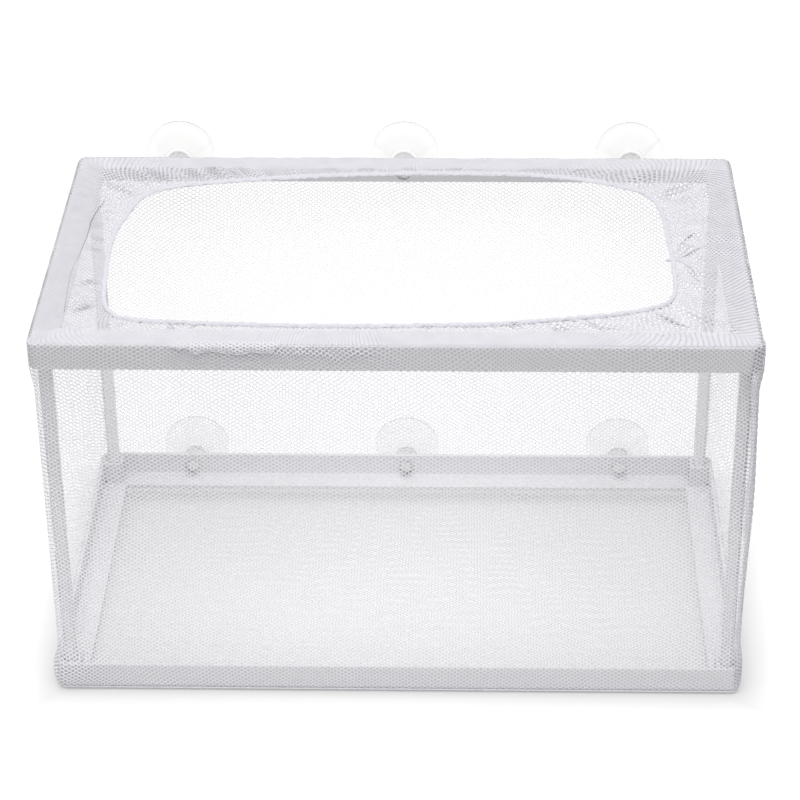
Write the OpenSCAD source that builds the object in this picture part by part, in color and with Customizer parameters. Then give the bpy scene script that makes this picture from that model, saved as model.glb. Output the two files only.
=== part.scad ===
// Fish breeding box: a knitted net stretched over a frame of two plastic rings
// and four posts, with an elastic mouth on top and six suction cups behind.
// Origin: centre of the underside. +X to the right, +Y towards the glass, +Z up.

/* [Overall] */
// Width over the net
box_w = 265; // [160:1:400]
// Depth over the net
box_d = 153.5; // [110:0.5:300]
// Height over the net
box_h = 155; // [70:1:300]

/* [Rings] */
// Thickness of the moulded plastic
plastic_t = 1.5; // [1:0.1:2.5]
// Width of the flat rim, from the outside of the ring
rim_w = 11; // [10.5:0.5:18]
// Height of the top ring's wall, rim included
top_ring_h = 10.3; // [9.6:0.1:18]
// Height of the bottom ring's wall, rim included
bottom_ring_h = 11.5; // [9.6:0.1:20]
// Rounding of the top ring's outer edge
edge_r = 0.5; // [0.2:0.1:0.9]
// Rounding of the bottom ring's outer edge
foot_r = 2.5; // [2:0.1:2.8]

/* [Posts] */
// Side of a square post
post_s = 4.8; // [3.8:0.1:5.4]
// How far the posts stand in from the outside of the rings
post_inset = 3; // [2.6:0.1:3.2]
// Chamfer along a post's edges
post_chamfer = 0.9; // [0.4:0.1:1.3]
// Length of the tapered lead-in at a post's ends
post_lead = 1.2; // [0.5:0.1:3]
// Play between a post and its socket, on each side
post_play = 0.1; // [0.05:0.05:0.3]
// Wall of a socket
socket_t = 1.5; // [1:0.1:2]
// Height of the bottom sockets above the rim
bottom_socket_h = 9.5; // [6:0.5:14]
// Depth of the top sockets below the rim
top_socket_h = 8; // [6:0.5:14]

/* [Net] */
// Thickness of the net
net_t = 0.5; // [0.3:0.05:0.8]
// Radius of the net's upright corners over the rings
net_corner_r = 4; // [4:0.1:8]
// Height over which the net comes in from a ring to the posts
net_slope_h = 10; // [4:0.5:20]
// Spacing of the openings that stand for the net's fine mesh
mesh_pitch = 20; // [16:1:26]
// Width of the bars between those openings
mesh_bar = 4.5; // [3:0.5:6]
// Thickness of the sewn bead round the floor
floor_seam_s = 1.2; // [0.8:0.1:1.4]
// Width of the lapped seam at the right front corner
lap_w = 4; // [2:0.5:8]
// Thickness that the lapped seam adds
lap_t = 0.4; // [0.2:0.1:0.8]

/* [Mouth] */
// Gap between the rim and the elastic at the ends
mouth_end_gap = 14.4; // [4:0.1:40]
// Gap between the rim and the elastic at the front and back
mouth_side_gap = 3.4; // [1.2:0.1:20]
// How far the mouth sits off centre, along the box
mouth_shift = -3.8; // [-8:0.1:8]
// Squareness of the mouth's corners, from an ellipse at 2 to a near rectangle at 8
front_left_power = 5.4; // [2:0.1:8]
front_right_power = 3.6; // [2:0.1:8]
back_left_power = 2.8; // [2:0.1:8]
back_right_power = 3.8; // [2:0.1:8]
// Diameter of the hem round the elastic
hem_d = 2; // [1.6:0.1:2.4]
// Diameter of the elastic cord
elastic_d = 1.1; // [0.8:0.1:1.3]

/* [Suction cups] */
// Diameter of a cup's rim
cup_d = 28; // [20:0.5:40]
// Distance from the back of the frame to the cups' rims
cup_reach = 16.5; // [13:0.5:24]
// Distance from the ends of the box to the middle of the end cups
cup_end_gap = 40; // [30:0.5:60]
// Diameter of a cup's hub
hub_d = 9.5; // [7:0.1:12]
// Distance from the back of the frame to the end of the hub
hub_reach = 7.5; // [4:0.5:9]
// Diameter of the neck through the frame
neck_d = 5; // [3:0.1:5.4]
// Diameter of the mushroom head that holds a cup in the frame
head_d = 6.4; // [5.8:0.1:6.8]
// Height of the mushroom head
head_h = 2.4; // [1.6:0.1:4]
// Thickness of a cup at its rim
cup_rim_t = 0.9; // [0.5:0.1:1.5]
// Width of the flat face round a cup's rim
cup_face_w = 1.1; // [0.8:0.1:2]
// Depth of a cup's hollow
cup_hollow = 6.5; // [2:0.1:7]
// Radial play between a neck and its hole
neck_play = 0.05; // [0.02:0.01:0.1]
// Play along the neck at each side of the frame
grip_play = 0.1; // [0.05:0.05:0.3]
// Height of the top cups' holes below the rim's upper face
top_cup_drop = 5.5; // [5.5:0.1:6]
// Height of the bottom cups' holes above the rim's lower face
bottom_cup_rise = 5.8; // [5.5:0.1:6]

/* [Hidden] */

$fn = 48;
LEFT = -1;
MIDDLE = 0;
RIGHT = 1;
FRONT = -1;
BACK = 1;

// The rings, inside the net
ring_w = box_w - 2 * net_t;
ring_d = box_d - 2 * net_t;
ring_r = net_corner_r - net_t;
ring_top = box_h - net_t;
ring_bottom = net_t;
fuse = 0.3; // how deep the parts of a ring run into each other

// The posts, between the two rims
post_low = ring_bottom + plastic_t;
post_high = ring_top - plastic_t;
post_x = ring_w / 2 - post_inset - post_s / 2;
post_y = ring_d / 2 - post_inset - post_s / 2;
bore_s = post_s + 2 * post_play;
socket_in = post_inset + post_s + post_play + socket_t; // inner face, from the ring's outside

// The net's outer face: its distance from the plane of the rings at each height
net_foot = foot_r + net_t; // its radius round the foot of the bottom ring
net_low = ring_bottom + bottom_ring_h;
net_high = ring_top - top_ring_h;
net_line = [
    [0, net_foot],
    [0, net_low],
    [-post_inset, net_low + net_slope_h],
    [-post_inset, net_high - net_slope_h],
    [0, net_high],
    [0, box_h - net_t],
];

// The mouth, measured from the inner edge of the rim
mouth_a = ring_w / 2 - rim_w - mouth_end_gap;
mouth_b = ring_d / 2 - rim_w - mouth_side_gap;
mouth_steps = 72;
mouth_z = box_h - net_t / 2;
tube_sides = 8;

// The suction cups
cup_pitch = box_w / 2 - cup_end_gap;
top_cup_z = ring_top - top_cup_drop;
bottom_cup_z = ring_bottom + bottom_cup_rise;
cup_y = ring_d / 2;
net_hole_d = neck_d + 0.5;
curve_steps = 10;

// Points of an arc about a centre
function arc(centre, r, from, to, steps) =
    [for (i = [0:steps]) centre + r * [cos(from + (to - from) * i / steps), sin(from + (to - from) * i / steps)]];

// Points of a curve that leaves p for q and arrives at s
function bend(p, q, s, steps) =
    [for (i = [0:steps]) let (t = i / steps) (1 - t) * (1 - t) * p + 2 * t * (1 - t) * q + t * t * s];

// A list of points, last first
function turned(points) = [for (i = [len(points) - 1:-1:0]) points[i]];

// A band of even width on one side of a line of points
function band(line, from, to) =
    concat([for (p = line) p + [to, 0]], [for (p = turned(line)) p + [from, 0]]);

// The net's cross-section: round the foot, then up the wall
function net_profile() = concat(
    arc([-net_foot, net_foot], net_foot, -90, 0, 6),
    [for (i = [1:len(net_line) - 1]) net_line[i]],
    [for (i = [len(net_line) - 1:-1:1]) net_line[i] - [net_t, 0]],
    arc([-net_foot, net_foot], foot_r, 0, -90, 6));

function signed_power(v, e) = sign(v) * pow(abs(v), e);

// The mouth's outline, pushed outwards by grow
function corner_power(x, y) =
    y < 0 ? (x < 0 ? front_left_power : front_right_power) : (x < 0 ? back_left_power : back_right_power);
function mouth_point(angle) =
    let (power = corner_power(cos(angle), sin(angle)))
    [mouth_a * signed_power(cos(angle), 2 / power), mouth_b * signed_power(sin(angle), 2 / power)];
function mouth_normal(p) =
    let (power = corner_power(p.x, p.y),
         g = [signed_power(p.x / mouth_a, power - 1) / mouth_a, signed_power(p.y / mouth_b, power - 1) / mouth_b])
    g / norm(g);
function mouth_outline(grow) =
    [for (i = [0:mouth_steps - 1]) let (p = mouth_point(360 * i / mouth_steps)) p + grow * mouth_normal(p)];

// A rectangle with round corners
module rounded(w, d, r) {
    square([w - 2 * r, d], center = true);
    square([w, d - 2 * r], center = true);
    for (x = [-1, 1], y = [-1, 1])
        translate([x * (w / 2 - r), y * (d / 2 - r)]) circle(r);
}

// One straight side of a rounded rectangle, carrying a profile drawn as
// [distance outwards from the rectangle, height]. Side 0 faces +X, side 1 +Y.
module side(side_no, w, d, r, from_end = 0, length = 0) {
    across = side_no % 2 == 0 ? w : d;
    along = (side_no % 2 == 0 ? d : w) - 2 * r;
    run = length > 0 ? length : along;
    rotate(90 * side_no)
        translate([across / 2, along / 2 - from_end, 0])
            rotate([90, 0, 0]) linear_extrude(run) children();
}

// The corner that follows a side, anticlockwise
module corner(side_no, w, d, r) {
    x = side_no % 2 == 0 ? w / 2 - r : d / 2 - r;
    y = side_no % 2 == 0 ? d / 2 - r : w / 2 - r;
    rotate(90 * side_no)
        translate([x, y, 0])
            rotate_extrude(angle = 90) translate([r, 0]) children();
}

// A profile carried all the way round
module around(w, d, r) {
    for (n = [0:3]) {
        side(n, w, d, r) children();
        corner(n, w, d, r) children();
    }
}

// A round tube along the mouth
module mouth_tube(tube_d) {
    points = [for (i = [0:mouth_steps - 1])
        let (p = mouth_point(360 * i / mouth_steps), out = mouth_normal(p))
        for (k = [0:tube_sides - 1])
            let (angle = 360 * (k + 0.5) / tube_sides, reach = tube_d / 2 * cos(angle))
            [p.x + out.x * reach, p.y + out.y * reach, tube_d / 2 * sin(angle)]];
    faces = [for (i = [0:mouth_steps - 1], k = [0:tube_sides - 1])
        let (i2 = (i + 1) % mouth_steps, k2 = (k + 1) % tube_sides,
             a = i * tube_sides + k, b = i * tube_sides + k2,
             c = i2 * tube_sides + k2, e = i2 * tube_sides + k)
        for (face = [[a, b, c], [a, c, e]]) face];
    translate([mouth_shift, 0, mouth_z]) polyhedron(points, faces);
}

// A moulded ring: a flat rim at the bottom, a wall round its outside, four
// sockets for the posts and three holes for suction cups in the back wall
module ring(wall_h, socket_h, cup_z, outer_r) {
    lip = plastic_t / 5; // chamfer along the free edge of the wall
    bend = max(outer_r, plastic_t); // how far the rim stops short of the ring's outside
    difference() {
        union() {
            around(ring_w, ring_d, ring_r)
                polygon(concat(
                    [[-bend - fuse, 0]],
                    arc([-outer_r, outer_r], outer_r, -90, 0, 6),
                    [[0, wall_h - lip], [-lip, wall_h], [lip - plastic_t, wall_h], [-plastic_t, wall_h - lip]],
                    outer_r > plastic_t
                        ? arc([-outer_r, outer_r], outer_r - plastic_t, 0, -90, 4)
                        : [[-plastic_t, plastic_t]],
                    [[-bend - fuse, plastic_t]]));
            linear_extrude(plastic_t) difference() {
                rounded(ring_w - 2 * bend, ring_d - 2 * bend, ring_r - bend);
                rounded(ring_w - 2 * rim_w, ring_d - 2 * rim_w, edge_r);
            }
            for (x = [LEFT, RIGHT], y = [FRONT, BACK])
                translate([x * ring_w / 2, y * ring_d / 2, 0]) {
                    socket(x, y, plastic_t - fuse, plastic_t + socket_h, bend - fuse);
                    socket(x, y, bend + fuse, plastic_t + socket_h, plastic_t - fuse);
                }
        }
        for (x = [LEFT, RIGHT], y = [FRONT, BACK])
            translate([x * post_x, y * post_y, plastic_t + socket_h])
                cube([bore_s, bore_s, 2 * socket_h], center = true);
        for (x = [LEFT, MIDDLE, RIGHT])
            translate([x * cup_pitch, ring_d / 2 - plastic_t / 2, cup_z])
                rotate([90, 0, 0]) cylinder(h = 3 * plastic_t, d = neck_d + 2 * neck_play, center = true);
    }
}

// The outside of one socket between two heights, from inset to socket_in in
// from a corner of the ring's plan
module socket(x, y, low, high, inset) {
    size = socket_in - inset;
    middle = inset + size / 2;
    translate([-x * middle, -y * middle, (low + high) / 2]) cube([size, size, high - low], center = true);
}

module top_frame() {
    color("whitesmoke") translate([0, 0, ring_top]) mirror([0, 0, 1])
        ring(top_ring_h, top_socket_h, top_cup_drop, edge_r);
}

module bottom_frame() {
    color("whitesmoke") translate([0, 0, ring_bottom])
        ring(bottom_ring_h, bottom_socket_h, bottom_cup_rise, foot_r);
}

// A square bar with chamfered edges and tapered ends
module post(x, y) {
    inner = post_s / 2 - post_chamfer;
    taper = post_chamfer / 2;
    color("white") translate([x * post_x, y * post_y, 0]) {
        translate([0, 0, post_low + post_lead])
            linear_extrude(post_high - post_low - 2 * post_lead) post_section(post_s / 2, inner);
        for (end = [0, 1])
            translate([0, 0, end == 0 ? post_low : post_high]) mirror([0, 0, end]) hull() {
                linear_extrude(post_lead / 4) post_section(post_s / 2 - taper, inner - taper);
                translate([0, 0, post_lead * 3 / 4]) linear_extrude(post_lead / 4) post_section(post_s / 2, inner);
            }
    }
}

module post_section(half, flat) {
    polygon([[half, -flat], [half, flat], [flat, half], [-flat, half],
             [-half, flat], [-half, -flat], [-flat, -half], [flat, -half]]);
}

// Openings through one side of the net wall, between the posts and the rings
module mesh_openings(side_no) {
    face = (side_no % 2 == 0 ? box_w : box_d) / 2 - post_inset;
    run = (side_no % 2 == 0 ? box_d : box_w) - 2 * (net_t + post_inset + post_s) - mesh_bar;
    rise = net_high - net_low - 2 * net_slope_h;
    columns = max(1, round(run / mesh_pitch));
    rows = max(1, round(rise / mesh_pitch));
    rotate(90 * side_no) translate([face, 0, (net_low + net_high) / 2])
        for (i = [0:columns - 1], k = [0:rows - 1])
            translate([0, ((i + 0.5) / columns - 0.5) * run, ((k + 0.5) / rows - 0.5) * rise])
                cube([4 * net_t, run / columns - mesh_bar, rise / rows - mesh_bar], center = true);
}

// One side of the net wall
module net_side(side_no) {
    color("ghostwhite") difference() {
        side(side_no, box_w, box_d, net_corner_r) polygon(net_profile());
        mesh_openings(side_no);
    }
}

// The net turning round a post, from one side of the wall to the next
module net_turn(side_no) {
    color("ghostwhite") corner(side_no, box_w, box_d, net_corner_r) polygon(net_profile());
}

module net_front() {
    net_turn(2);
    net_side(3);
    net_turn(3);
}

module net_back() {
    difference() {
        union() {
            net_turn(0);
            net_side(1);
            net_turn(1);
        }
        for (x = [LEFT, MIDDLE, RIGHT], z = [bottom_cup_z, top_cup_z])
            translate([x * cup_pitch, box_d / 2, z])
                rotate([90, 0, 0]) cylinder(h = 4 * net_t, d = net_hole_d, center = true);
    }
}

module net_floor() {
    color("ghostwhite") linear_extrude(net_t)
        rounded(box_w - 2 * net_foot, box_d - 2 * net_foot, net_corner_r - net_foot);
}

// The net over the top, with its edge held in the hem
module net_top() {
    color("ghostwhite") translate([0, 0, box_h - net_t]) linear_extrude(net_t) difference() {
        rounded(box_w, box_d, net_corner_r);
        translate([mouth_shift, 0]) polygon(mouth_outline(hem_d / 2 * cos(180 / tube_sides)));
    }
}

module hem() {
    color("lavender") difference() {
        mouth_tube(hem_d);
        mouth_tube(elastic_d);
    }
}

module elastic_cord() {
    color("white") mouth_tube(elastic_d);
}

// The lapped ends of the net wall, on the right side at the front
module corner_seam() {
    along = box_d - 2 * net_corner_r;
    color("white") side(0, box_w, box_d, net_corner_r, along - lap_w, lap_w)
        polygon(band(net_line, 0, lap_t));
}

// The sewn bead round the floor, on the net where it turns round the foot
module floor_seam() {
    r = floor_seam_s / 2;
    spread = 2 * asin(r / (2 * net_foot)); // half the bead's footing on the net
    centre = [-net_foot, net_foot];
    middle = centre + net_foot * [cos(-45), sin(-45)];
    color("white") around(box_w, box_d, net_corner_r)
        polygon(concat(
            arc(middle, r, -135 - spread / 2, 45 + spread / 2, 10),
            [centre + net_foot * [cos(-45), sin(-45)]]));
}

// A suction cup on its own axis, standing on the back of the frame
module suction_cup() {
    hub_r = hub_d / 2;
    head_r = head_d / 2;
    cup_r = cup_d / 2;
    head_low = -plastic_t - grip_play;
    crown = head_r / 4;
    rotate_extrude() polygon(concat(
        [[0, head_low - head_h]],
        bend([head_r - 2 * crown, head_low - head_h], [head_r, head_low - head_h], [head_r, head_low - crown], 5),
        [[head_r, head_low], [neck_d / 2, head_low], [neck_d / 2, net_t + grip_play], [hub_r, net_t + grip_play]],
        bend([hub_r, hub_reach], [cup_r * 0.55, hub_reach + 1.2], [cup_r, cup_reach - cup_rim_t], curve_steps),
        [[cup_r, cup_reach]],
        bend([cup_r - cup_face_w, cup_reach], [cup_r * 0.5, cup_reach - cup_hollow], [0, cup_reach - cup_hollow],
             curve_steps)));
}

module cup(x, z) {
    color("lightcyan", 0.5) translate([x * cup_pitch, cup_y, z]) rotate([-90, 0, 0]) suction_cup();
}

top_frame();
bottom_frame();
post(LEFT, FRONT);  // post_front_left
post(RIGHT, FRONT);  // post_front_right
post(LEFT, BACK);  // post_back_left
post(RIGHT, BACK);  // post_back_right
net_front();
net_back();
net_side(2);  // net_left
net_side(0);  // net_right
net_floor();
net_top();
hem();
elastic_cord();
corner_seam();
floor_seam();
cup(LEFT, top_cup_z);  // cup_top_left
cup(MIDDLE, top_cup_z);  // cup_top_middle
cup(RIGHT, top_cup_z);  // cup_top_right
cup(LEFT, bottom_cup_z);  // cup_bottom_left
cup(MIDDLE, bottom_cup_z);  // cup_bottom_middle
cup(RIGHT, bottom_cup_z);  // cup_bottom_right
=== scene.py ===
import math

import bpy
import numpy as np
from mathutils import Matrix, Vector


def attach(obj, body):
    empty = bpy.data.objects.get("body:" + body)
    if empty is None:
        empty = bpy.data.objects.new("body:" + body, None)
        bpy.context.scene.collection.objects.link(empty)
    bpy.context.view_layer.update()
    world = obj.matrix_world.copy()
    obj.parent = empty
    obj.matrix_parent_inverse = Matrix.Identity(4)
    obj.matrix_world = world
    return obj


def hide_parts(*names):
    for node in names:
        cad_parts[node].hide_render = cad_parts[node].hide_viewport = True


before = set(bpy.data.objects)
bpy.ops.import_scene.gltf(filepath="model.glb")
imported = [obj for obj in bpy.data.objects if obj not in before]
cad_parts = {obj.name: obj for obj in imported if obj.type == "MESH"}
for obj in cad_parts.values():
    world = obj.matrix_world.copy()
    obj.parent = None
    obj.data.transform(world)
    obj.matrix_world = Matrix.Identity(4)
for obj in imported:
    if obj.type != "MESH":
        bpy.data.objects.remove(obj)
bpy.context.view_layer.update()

# --- Camera -----------------------------------------------------------------
# Stands a good metre in front of the box and well above its rim, and looks
# down through the mouth to the floor net.
MM = 0.001
CAMERA_PLACE = Vector((25.1, -883.9, 625.1)) * MM
PITCH, YAW, ROLL = (math.radians(angle) for angle in (31.38, -1.64, 0.54))
FOCAL_LENGTH, SENSOR_WIDTH = 117.99, 36
forward = Vector((
    math.sin(YAW) * math.cos(PITCH),
    math.cos(YAW) * math.cos(PITCH),
    -math.sin(PITCH),
))
level = Vector((math.cos(YAW), -math.sin(YAW), 0))
down = forward.cross(level)
right = math.cos(ROLL) * level + math.sin(ROLL) * down
up = math.sin(ROLL) * level - math.cos(ROLL) * down
camera = bpy.data.objects.new("camera", bpy.data.cameras.new("camera"))
bpy.context.scene.collection.objects.link(camera)
camera.matrix_world = Matrix.Translation(CAMERA_PLACE) @ Matrix((right, up, -forward)).transposed().to_4x4()
camera.data.lens, camera.data.sensor_width = FOCAL_LENGTH, SENSOR_WIDTH
camera.data.clip_start, camera.data.clip_end = 0.05, 20
bpy.context.scene.camera = camera
bpy.context.scene.view_settings.view_transform = "Standard"

# --- Table and lights -------------------------------------------------------
# A plain white table top. The box stands on its front bottom edge and on the
# rims of the lower cups, so the top is tilted to meet them.
TABLE_FRONT, TABLE_BACK = Vector((0, -78.2, -0.05)) * MM, Vector((0, 92.75, -7.75)) * MM
TABLE_HALF = 6.0
TABLE_GREY = 0.55
# To the eye the table top glows white: least under the box, more beside it, and in full some way off
UNDER_BOX = (0.1325, 0.08, 0)  # half the length and half the depth of the box
GLOW_UNDER, GLOW_BESIDE, GLOW_BEHIND = 0.225, 0.6, 0.4
BESIDE_FROM, BESIDE_TO, BEHIND_FROM, BEHIND_TO = -0.008, 0.018, 0.3, 0.6  # metres from the box's edge
WORLD_LIGHT, WORLD_SEEN = 0.40, 1.0
run = (TABLE_BACK - TABLE_FRONT).normalized()
side = Vector((1, 0, 0))
table_mesh = bpy.data.meshes.new("table")
table_mesh.from_pydata(
    [
        TABLE_FRONT + a * TABLE_HALF * side + b * TABLE_HALF * run
        for a, b in ((-1, -1), (1, -1), (1, 1), (-1, 1))
    ],
    [], [(0, 1, 2, 3)],
)
table = bpy.data.objects.new("table", table_mesh)
bpy.context.scene.collection.objects.link(table)


def new_material(name):
    """A material, its node tree and its shader."""
    material = bpy.data.materials.new(name)
    material.use_nodes = True
    return material, material.node_tree, material.node_tree.nodes["Principled BSDF"]


def feed(tree, socket, source):
    """Gives a socket a number, a colour or the output of another node."""
    if isinstance(source, bpy.types.NodeSocket):
        tree.links.new(source, socket)
    else:
        socket.default_value = source


def maths(tree, operation, *sources, clamp=False):
    """The result of one maths node over numbers or sockets."""
    node = tree.nodes.new("ShaderNodeMath")
    node.operation, node.use_clamp = operation, clamp
    for socket, source in zip(node.inputs, sources):
        feed(tree, socket, source)
    return node.outputs[0]


def between(tree, value, low, high, start=0.0, stop=1.0):
    """low where the value is at start, high where it is at stop."""
    ramp = tree.nodes.new("ShaderNodeMapRange")
    for socket, source in (
        ("Value", value), ("From Min", start), ("From Max", stop), ("To Min", low), ("To Max", high),
    ):
        feed(tree, ramp.inputs[socket], source)
    return ramp.outputs[0]


def seen_by_eye(tree):
    """1 for rays that come from the camera, a reflection or clear plastic, else 0."""
    path = tree.nodes.new("ShaderNodeLightPath")
    highest = path.outputs["Is Camera Ray"]
    for name in ("Is Glossy Ray", "Is Transmission Ray"):
        highest = maths(tree, "MAXIMUM", highest, path.outputs[name])
    return highest


paint, tree, shader = new_material("table_white")
shader.inputs["Base Color"].default_value = (TABLE_GREY, TABLE_GREY, TABLE_GREY, 1)
shader.inputs["Roughness"].default_value = 0.9
shader.inputs["Specular IOR Level"].default_value = 0
shader.inputs["Emission Color"].default_value = (1, 1, 1, 1)
aside = tree.nodes.new("ShaderNodeVectorMath")
aside.operation = "ABSOLUTE"
tree.links.new(tree.nodes.new("ShaderNodeTexCoord").outputs["Object"], aside.inputs[0])
beyond = tree.nodes.new("ShaderNodeVectorMath")
beyond.operation = "SUBTRACT"
beyond.inputs[1].default_value = UNDER_BOX
tree.links.new(aside.outputs[0], beyond.inputs[0])
parts = tree.nodes.new("ShaderNodeSeparateXYZ")
tree.links.new(beyond.outputs[0], parts.inputs[0])
gap = maths(tree, "MAXIMUM", parts.outputs["X"], parts.outputs["Y"])
glow = maths(
    tree, "ADD", between(tree, gap, 0.0, GLOW_BEHIND, BEHIND_FROM, BEHIND_TO),
    between(tree, gap, GLOW_UNDER, GLOW_BESIDE, BESIDE_FROM, BESIDE_TO), clamp=True,
)
feed(tree, shader.inputs["Emission Strength"], maths(tree, "MULTIPLY", seen_by_eye(tree), glow))
table_mesh.materials.append(paint)

world = bpy.data.worlds.new("studio")
bpy.context.scene.world = world
world.use_nodes = True
tree = world.node_tree
sky = tree.nodes["Background"]
sky.inputs["Color"].default_value = (1, 1, 1, 1)
feed(tree, sky.inputs["Strength"], between(tree, seen_by_eye(tree), WORLD_LIGHT, WORLD_SEEN))


def softbox(name, place, aim, size, power):
    """A lamp that the camera doesn't see. size is its width and height."""
    lamp = bpy.data.lights.new(name, "AREA")
    lamp.shape = "RECTANGLE"
    lamp.size, lamp.size_y = size
    lamp.energy = power
    holder = bpy.data.objects.new(name, lamp)
    holder.visible_camera = holder.visible_glossy = holder.visible_transmission = False
    bpy.context.scene.collection.objects.link(holder)
    holder.location = place
    holder.rotation_euler = (Vector(aim) - Vector(place)).to_track_quat("-Z", "Y").to_euler()


softbox("overhead_softbox", place=(-0.03, -0.1, 0.95), aim=(0, 0, 0.05), size=(1.0, 1.0), power=7.4)
softbox("low_fill", place=(0, -0.22, 0.055), aim=(0, 0.02, 0.02), size=(0.6, 0.06), power=0.2)
softbox("inner_fill", place=(0, -0.05, 0.1), aim=(0, 0.08, 0.05), size=(0.22, 0.1), power=0.085)

# --- Moulded rings ----------------------------------------------------------
# Two white plastic rings, injection moulded, each a flat rim with a wall,
# four sockets for the posts and three holes for cups. Their imported solids stay.
# Upright faces take more of the dark tone than faces that look up: this is painted shade, for the light
# that falls less on them.
FACING_UP, FACING_OUT = 0.9, 0.3  # the rise of a face's normal where the painted shade begins, and where it is full
UPRIGHT_PAINTED_SHADE, FLOW_SHADE = 0.75, 0.25  # the share of the dark tone on upright faces, which is painted shade, and its share in the melt's flow


def new_group(name, inputs, outputs):
    """An empty node group; inputs and outputs map a name to its socket type."""
    group = bpy.data.node_groups.new(name, "ShaderNodeTree")
    for socket, kind in inputs.items():
        group.interface.new_socket(socket, in_out="INPUT", socket_type=kind)
    for socket, kind in outputs.items():
        group.interface.new_socket(socket, in_out="OUTPUT", socket_type=kind)
    return group, group.nodes.new("NodeGroupInput"), group.nodes.new("NodeGroupOutput")


def place_group(tree, group, **values):
    """The outputs of a node group that is placed in a material with these values."""
    placed = tree.nodes.new("ShaderNodeGroup")
    placed.node_tree = group
    for socket, value in values.items():
        placed.inputs[socket].default_value = value
    return placed.outputs


def noise(tree, scale, detail):
    """A noise in object space, with its scale in bumps per metre."""
    texture = tree.nodes.new("ShaderNodeTexNoise")
    feed(tree, texture.inputs["Scale"], scale)
    texture.inputs["Detail"].default_value = detail
    tree.links.new(tree.nodes.new("ShaderNodeTexCoord").outputs["Object"], texture.inputs["Vector"])
    return texture.outputs["Fac"]


def blend_colours(tree, factor, first, second):
    """The first colour where factor is 0, the second where it is 1."""
    mix = tree.nodes.new("ShaderNodeMix")
    mix.data_type = "RGBA"
    tree.links.new(factor, mix.inputs["Factor"])
    feed(tree, mix.inputs[6], first)
    feed(tree, mix.inputs[7], second)
    return mix.outputs[2]


def add_relief(tree, shader, height, strength, depth):
    """Bumps of this depth in millimetres on a material's surface."""
    bump = tree.nodes.new("ShaderNodeBump")
    bump.inputs["Strength"].default_value = strength
    bump.inputs["Distance"].default_value = depth * MM
    tree.links.new(height, bump.inputs["Height"])
    tree.links.new(bump.outputs[0], shader.inputs["Normal"])


moulded_skin_and_painted_shade, skin_in, skin_out = new_group(
    "moulded_skin_and_painted_shade",
    {
        "Light": "NodeSocketColor", "Shade": "NodeSocketColor",
        "Polish": "NodeSocketFloat", "Matt": "NodeSocketFloat",
    },
    {"Color": "NodeSocketColor", "Roughness": "NodeSocketFloat", "Height": "NodeSocketFloat"},
)
tree = moulded_skin_and_painted_shade
upward = tree.nodes.new("ShaderNodeSeparateXYZ")
tree.links.new(tree.nodes.new("ShaderNodeNewGeometry").outputs["True Normal"], upward.inputs[0])
# painted shade: the dark tone laid on upright faces
upright = between(tree, upward.outputs["Z"], 0, UPRIGHT_PAINTED_SHADE, FACING_UP, FACING_OUT)
flow_and_painted_shade = maths(tree, "MULTIPLY_ADD", noise(tree, 18, 3), FLOW_SHADE, upright)
feed(
    tree, skin_out.inputs["Color"],
    blend_colours(tree, flow_and_painted_shade, skin_in.outputs["Light"], skin_in.outputs["Shade"]),
)
feed(
    tree, skin_out.inputs["Roughness"],
    between(tree, noise(tree, 140, 4), skin_in.outputs["Polish"], skin_in.outputs["Matt"], 0.35, 0.65),
)
feed(tree, skin_out.inputs["Height"], noise(tree, 2600, 2))


def moulded_plastic(name, light, shade, polish, matt, grain):
    """An opaque moulded plastic in which the melt's flow shows faintly, with painted shade on its upright
    faces.
    """
    material, tree, shader = new_material(name)
    skin = place_group(tree, moulded_skin_and_painted_shade, Light=(*light, 1), Shade=(*shade, 1), Polish=polish, Matt=matt)
    tree.links.new(skin["Color"], shader.inputs["Base Color"])
    tree.links.new(skin["Roughness"], shader.inputs["Roughness"])
    add_relief(tree, shader, skin["Height"], grain, 0.05)
    return material


def finish_node(name, material):
    """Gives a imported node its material."""
    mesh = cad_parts[name].data
    if not mesh.materials:
        mesh.materials.append(material)
    for place in range(len(mesh.materials)):
        mesh.materials[place] = material


# The rings' dark colour is painted shade on their upright faces, and a faint flow elsewhere.
ring_plastic = moulded_plastic(
    "ring_plastic", (0.755, 0.75, 0.77), (0.60, 0.595, 0.615), polish=0.38, matt=0.5, grain=0.25
)
for name in ("top_frame", "bottom_frame"):
    finish_node(name, ring_plastic)

# --- Posts ------------------------------------------------------------------
# Four square white bars with chamfered edges. Their tapered ends are pressed
# into the sockets of the rings.
# The posts' dark colour is painted shade on their upright faces, and a faint flow elsewhere.
post_plastic = moulded_plastic(
    "post_plastic", (0.79, 0.785, 0.80), (0.71, 0.705, 0.72), polish=0.3, matt=0.42, grain=0.2
)
for name in ("post_front_left", "post_front_right", "post_back_left", "post_back_right"):
    finish_node(name, post_plastic)

# --- Elastic mouth ----------------------------------------------------------
# The net's upper edge is folded into a narrow hem round an elastic cord. The
# cord draws it in to an uneven oblong with four round corners.
HEM_ROUTE = (  # the middle of the hem, anticlockwise from the front left corner
    (-104.2, -52.6), (-96.3, -57.7), (-70.8, -60.4), (-34.5, -62.0), (1.7, -61.9), (38.0, -59.4),
    (74.4, -54.1), (96.5, -46.3), (102.2, -37.8), (103.4, -23.9), (102.9, 4.7), (99.7, 38.0),
    (86.6, 51.0), (63.0, 58.4), (39.2, 61.4), (-1.0, 61.6), (-40.9, 58.2), (-80.5, 52.3),
    (-99.9, 43.2), (-107.3, 23.6), (-110.3, 2.8), (-109.1, -29.5), (-107.5, -44.4),
)
HEM_HEIGHT, HEM_RADIUS = 154.75, 0.9
HEM_STEPS, HEM_SIDES = 2560, 12
HEM_LIFT = 0.9  # how far the hem's shading turns up
PUCKER_ROUND = 1.5  # how much the puckers change round the hem's own thickness


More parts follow.
